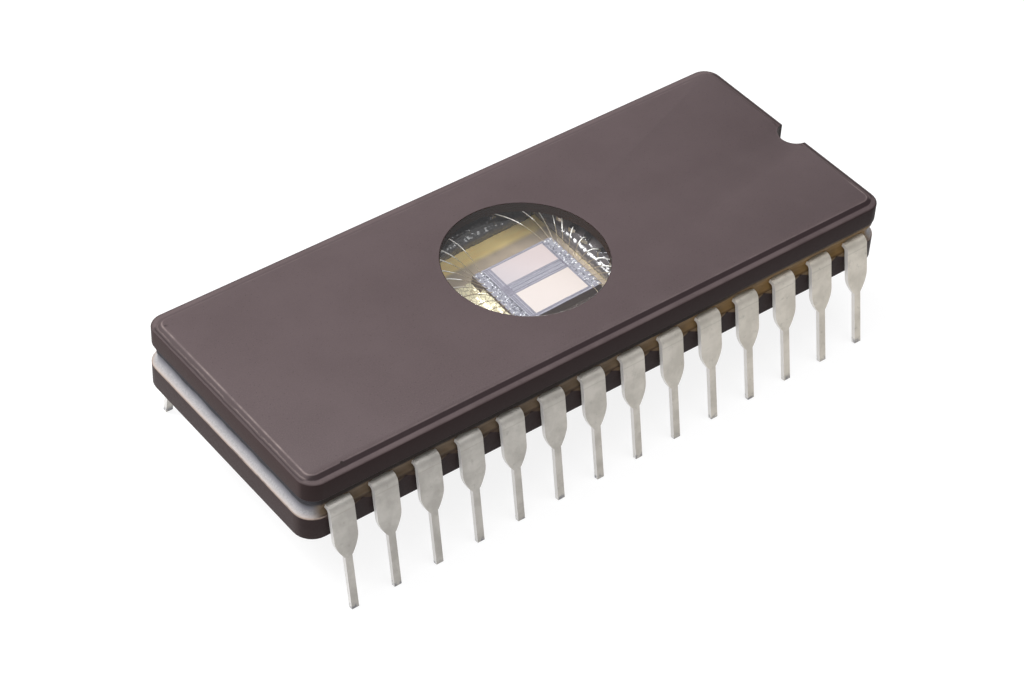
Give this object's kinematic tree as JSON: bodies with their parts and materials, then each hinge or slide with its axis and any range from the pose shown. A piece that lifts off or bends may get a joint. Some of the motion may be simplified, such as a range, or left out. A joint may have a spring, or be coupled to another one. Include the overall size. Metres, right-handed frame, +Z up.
{
  "type": "eprom chip",
  "caption": "Windowed ceramic dual in-line memory chip: brown base and lid sealed with glass, round window over a bonded die, stamped leads along both sides.",
  "frame": {"origin": "middle of the package in plan, on the plane that the lead tips stand on", "axes": "+X along the package towards its notched end, +Y across it to the row of leads 1 to 14, +Z up out of the window"},
  "size_m": [0.0368, 0.017, 0.0082],
  "materials": {
    "brown_ceramic": "matt pressed ceramic",
    "sealing_glass": "fired glossy",
    "window_glass": "polished clear",
    "gold": "satin gold",
    "die_face": "polished silicon",
    "tinned_lead": "satin tin plating"
  },
  "bodies": {
    "root": {"ceramic_base": "brown_ceramic", "ceramic_lid": "brown_ceramic", "uv_window": "window_glass", "sealing_glass": "sealing_glass", "cavity_gold": "gold", "die_attach": "gold", "memory_die": "die_face", "lead_01": "tinned_lead", "lead_02": "tinned_lead", "lead_03": "tinned_lead", "lead_04": "tinned_lead", "lead_05": "tinned_lead", "lead_06": "tinned_lead", "lead_07": "tinned_lead", "lead_08": "tinned_lead", "lead_09": "tinned_lead", "lead_10": "tinned_lead", "lead_11": "tinned_lead", "lead_12": "tinned_lead", "lead_13": "tinned_lead", "lead_14": "tinned_lead", "lead_15": "tinned_lead", "lead_16": "tinned_lead", "lead_17": "tinned_lead", "lead_18": "tinned_lead", "lead_19": "tinned_lead", "lead_20": "tinned_lead", "lead_21": "tinned_lead", "lead_22": "tinned_lead", "lead_23": "tinned_lead", "lead_24": "tinned_lead", "lead_25": "tinned_lead", "lead_26": "tinned_lead", "lead_27": "tinned_lead", "lead_28": "tinned_lead"}
  },
  "joints": []
}
